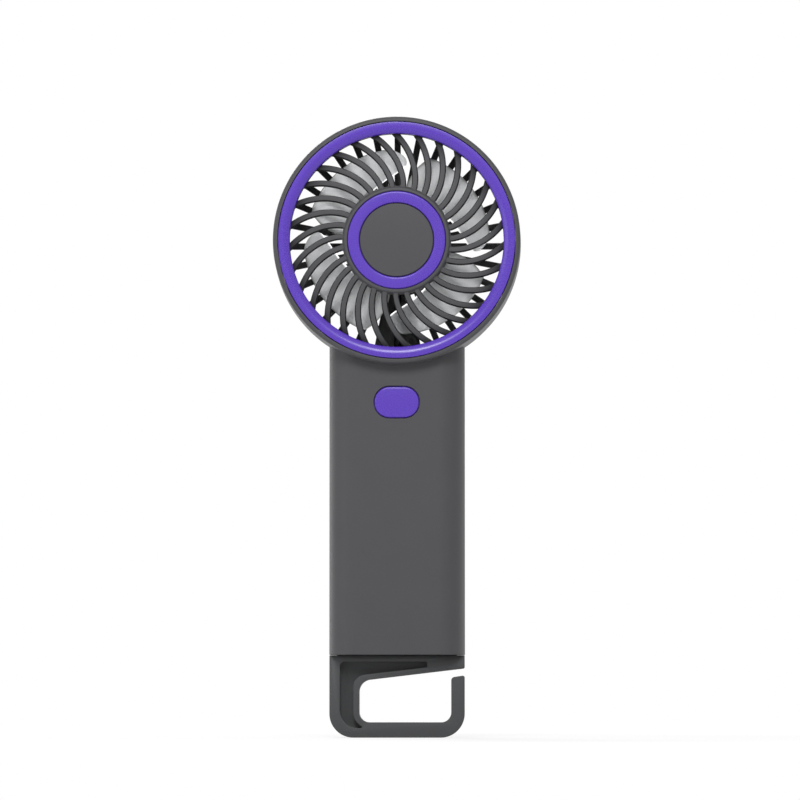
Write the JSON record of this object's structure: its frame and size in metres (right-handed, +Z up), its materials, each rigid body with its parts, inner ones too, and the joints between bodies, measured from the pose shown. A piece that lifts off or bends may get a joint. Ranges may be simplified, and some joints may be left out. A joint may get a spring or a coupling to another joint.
{
  "type": "hand crank fan",
  "caption": "Slim handheld fan: round head with curved-rib grille, frosted blades and trim rings, oval button, open hook at the foot and a fold-flat crank behind the handle.",
  "frame": {"origin": "centre of the hook's flat foot, mid-width and mid-depth of the handle", "axes": "+Z up along the handle to the head, -Y the front that the air leaves by, +X to the viewer's right from the front"},
  "size_m": [0.0832, 0.0392, 0.2074],
  "materials": {
    "dark_shell": "fine satin moulded",
    "hook_grey": "fine satin moulded",
    "purple_accent": "satin moulded",
    "black_plastic": "fine moulded",
    "frosted_blade": "frosted, see-through",
    "gear_plastic": "moulded, self-lubricating",
    "board_green": "solder resist",
    "pouch_foil": "laminated foil",
    "lead_sleeve": "smooth sleeve",
    "black_lead": "smooth sleeve",
    "bright_steel": "plated",
    "dark_steel": "blackened",
    "brass": "turned",
    "copper": "wound and varnished"
  },
  "bodies": {
    "housing": {"front_shell": "dark_shell", "rear_shell": "dark_shell", "hook_cap": "hook_grey", "main_board": "board_green", "button_switch": "black_plastic", "charging_socket": "bright_steel", "battery": "pouch_foil", "gear_plate": "bright_steel", "motor_lead": "black_lead", "dynamo_lead": "lead_sleeve", "battery_lead": "lead_sleeve", "outer_trim_ring": "purple_accent", "front_grille": "dark_shell", "hub_accent_ring": "purple_accent", "hub_cap": "dark_shell", "stator": "copper", "motor_base": "dark_steel", "rear_grille": "black_plastic", "motor_screw_1": "dark_steel", "motor_screw_2": "dark_steel", "motor_screw_3": "dark_steel", "shell_screw_1": "dark_steel", "shell_screw_2": "dark_steel", "shell_screw_3": "dark_steel", "shell_screw_4": "dark_steel", "hook_screw_1": "dark_steel", "hook_screw_2": "dark_steel", "board_screw_1": "bright_steel", "board_screw_2": "bright_steel", "plate_screw_1": "bright_steel", "plate_screw_2": "bright_steel", "plate_screw_3": "bright_steel", "plate_screw_4": "bright_steel", "dynamo_screw_1": "bright_steel", "dynamo_screw_2": "bright_steel", "dynamo_can": "bright_steel", "dynamo_bell": "black_plastic", "compound_axle": "bright_steel", "crank_bush": "black_plastic"},
    "button": {"power_button": "purple_accent"},
    "fan_rotor": {"impeller": "frosted_blade", "rotor_can": "bright_steel", "magnet_ring": "dark_steel", "motor_shaft": "bright_steel"},
    "dynamo_rotor": {"dynamo_shaft": "bright_steel", "dynamo_pinion": "brass"},
    "compound": {"compound_gear": "gear_plastic"},
    "crank": {"crank_gear": "gear_plastic", "crank_shaft": "bright_steel", "crank_arm": "dark_shell", "crank_screw": "dark_steel", "knob_pin": "bright_steel"},
    "knob": {"knob_post": "bright_steel", "knob_screw": "dark_steel"},
    "grip": {"knob_grip": "purple_accent"}
  },
  "joints": [
    {"name": "impeller_spin", "type": "hinge", "parent": "housing", "child": "fan_rotor", "pos_m": [0, 0, 0.1658], "axis": [0, 1, 0], "continuous": true},
    {"name": "button_press", "type": "slide", "parent": "housing", "child": "button", "axis": [0, 1, 0], "range_m": [0, 0.0008], "stiffness_N_per_m": 1500, "springref_m": -0.0003},
    {"name": "crank_turn", "type": "hinge", "parent": "housing", "child": "crank", "pos_m": [0, 0, 0.0809], "axis": [0, 1, 0], "continuous": true},
    {"name": "compound_turn", "type": "hinge", "parent": "housing", "child": "compound", "pos_m": [0, 0, 0.0609], "axis": [0, 1, 0], "continuous": true},
    {"name": "dynamo_turn", "type": "hinge", "parent": "housing", "child": "dynamo_rotor", "pos_m": [0, 0, 0.0465], "axis": [0, 1, 0], "continuous": true},
    {"name": "knob_fold", "type": "hinge", "parent": "crank", "child": "knob", "pos_m": [0, 0.0175, 0.0449], "axis": [-1, 0, 0], "range_deg": [0, 90]},
    {"name": "knob_spin", "type": "hinge", "parent": "knob", "child": "grip", "pos_m": [0, 0.0175, 0.0587], "axis": [0, 0, 1], "continuous": true}
  ],
  "couplings": [
    {"joint": "compound_turn", "follows": "crank_turn", "ratio": -4},
    {"joint": "dynamo_turn", "follows": "crank_turn", "ratio": 12}
  ]
}
